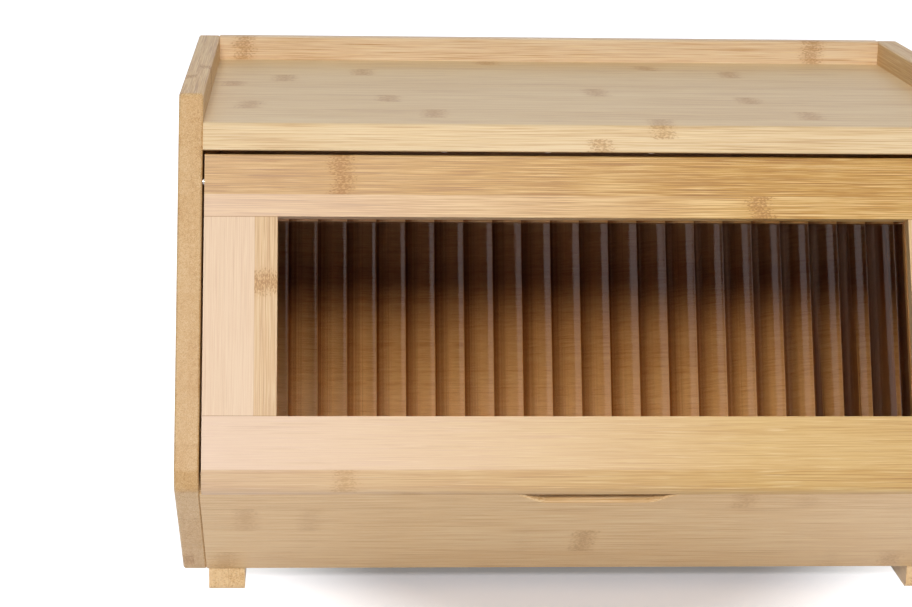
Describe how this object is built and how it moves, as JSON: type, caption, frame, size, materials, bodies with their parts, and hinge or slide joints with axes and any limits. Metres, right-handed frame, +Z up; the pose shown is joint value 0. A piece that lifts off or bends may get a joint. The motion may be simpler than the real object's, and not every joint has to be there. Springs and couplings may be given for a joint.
{
  "type": "bread box",
  "caption": "Laminated bamboo bread box with shaped sides, a tray top, a lift-up framed door with a reeded clear window and a fixed leaning apron with a finger scoop.",
  "frame": {"origin": "on the floor under the middle of the box's bounding box", "axes": "+X across the width, the front faces -Y, +Z up"},
  "size_m": [0.4, 0.28, 0.2525],
  "materials": {
    "bamboo_board": "clear satin lacquer over laminated bamboo",
    "bamboo_door": "clear satin lacquer over laminated bamboo",
    "bamboo_feet": "clear satin lacquer over bamboo end grain",
    "clear_acrylic": "clear, reeded on the face",
    "bright_steel": "bright drawn steel",
    "beech_dowel": "bare beech"
  },
  "bodies": {
    "cabinet": {"side_panel_left": "bamboo_board", "side_panel_right": "bamboo_board", "top_board": "bamboo_board", "back_panel": "bamboo_board", "bottom_board": "bamboo_board", "front_apron": "bamboo_board", "foot_front_left": "bamboo_feet", "foot_front_right": "bamboo_feet", "foot_rear_left": "bamboo_feet", "foot_rear_right": "bamboo_feet", "carcass_dowels_left": "beech_dowel", "carcass_dowels_right": "beech_dowel", "back_dowels": "beech_dowel", "hinge_pin_left": "bright_steel", "hinge_pin_right": "bright_steel"},
    "door": {"door_top_rail": "bamboo_door", "door_bottom_rail": "bamboo_door", "door_stile_left": "bamboo_door", "door_stile_right": "bamboo_door", "window_panel": "clear_acrylic", "door_dowels": "beech_dowel"}
  },
  "joints": [
    {"name": "door_hinge", "type": "hinge", "parent": "cabinet", "child": "door", "pos_m": [0, -0.07545, 0.2118], "axis": [-1, 0, 0], "range_deg": [0, 130]}
  ]
}
